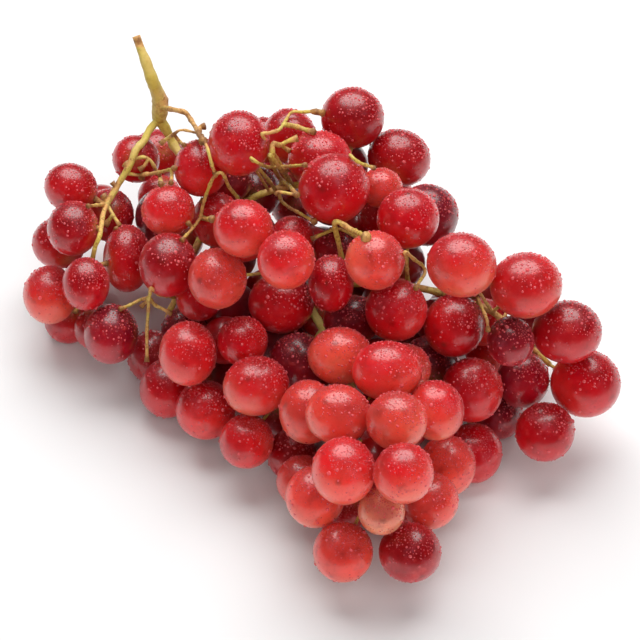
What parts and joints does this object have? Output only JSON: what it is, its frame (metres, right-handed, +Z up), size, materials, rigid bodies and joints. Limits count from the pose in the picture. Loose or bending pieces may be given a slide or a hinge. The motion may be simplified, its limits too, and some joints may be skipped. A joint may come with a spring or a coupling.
{
  "type": "bunch of grapes",
  "caption": "Bunch of red table grapes lying on its side: round berries packed on a branching green stem with a bare stalk and loose side wings.",
  "frame": {"origin": "centre of the footprint, on the surface that the bunch lies on", "axes": "+Z up, +X to the right of the pictured view, +Y away from its viewer; the tail of the bunch points to -Y and the stalk rises at -X, +Y"},
  "size_m": [0.2094, 0.1971, 0.0969],
  "materials": {
    "stem": "woody matte",
    "skin_left_wing": "waxy, moist",
    "skin_left_flank": "waxy, moist",
    "skin_middle": "waxy, moist",
    "skin_crown": "waxy, moist",
    "skin_right_wing": "waxy, moist",
    "skin_tail": "waxy, moist"
  },
  "bodies": {
    "root": {"stem": "stem", "berries_left_wing": "skin_left_wing", "berries_left_flank": "skin_left_flank", "berries_middle": "skin_middle", "berries_crown": "skin_crown", "berries_right_wing": "skin_right_wing", "berries_tail": "skin_tail"}
  },
  "joints": []
}
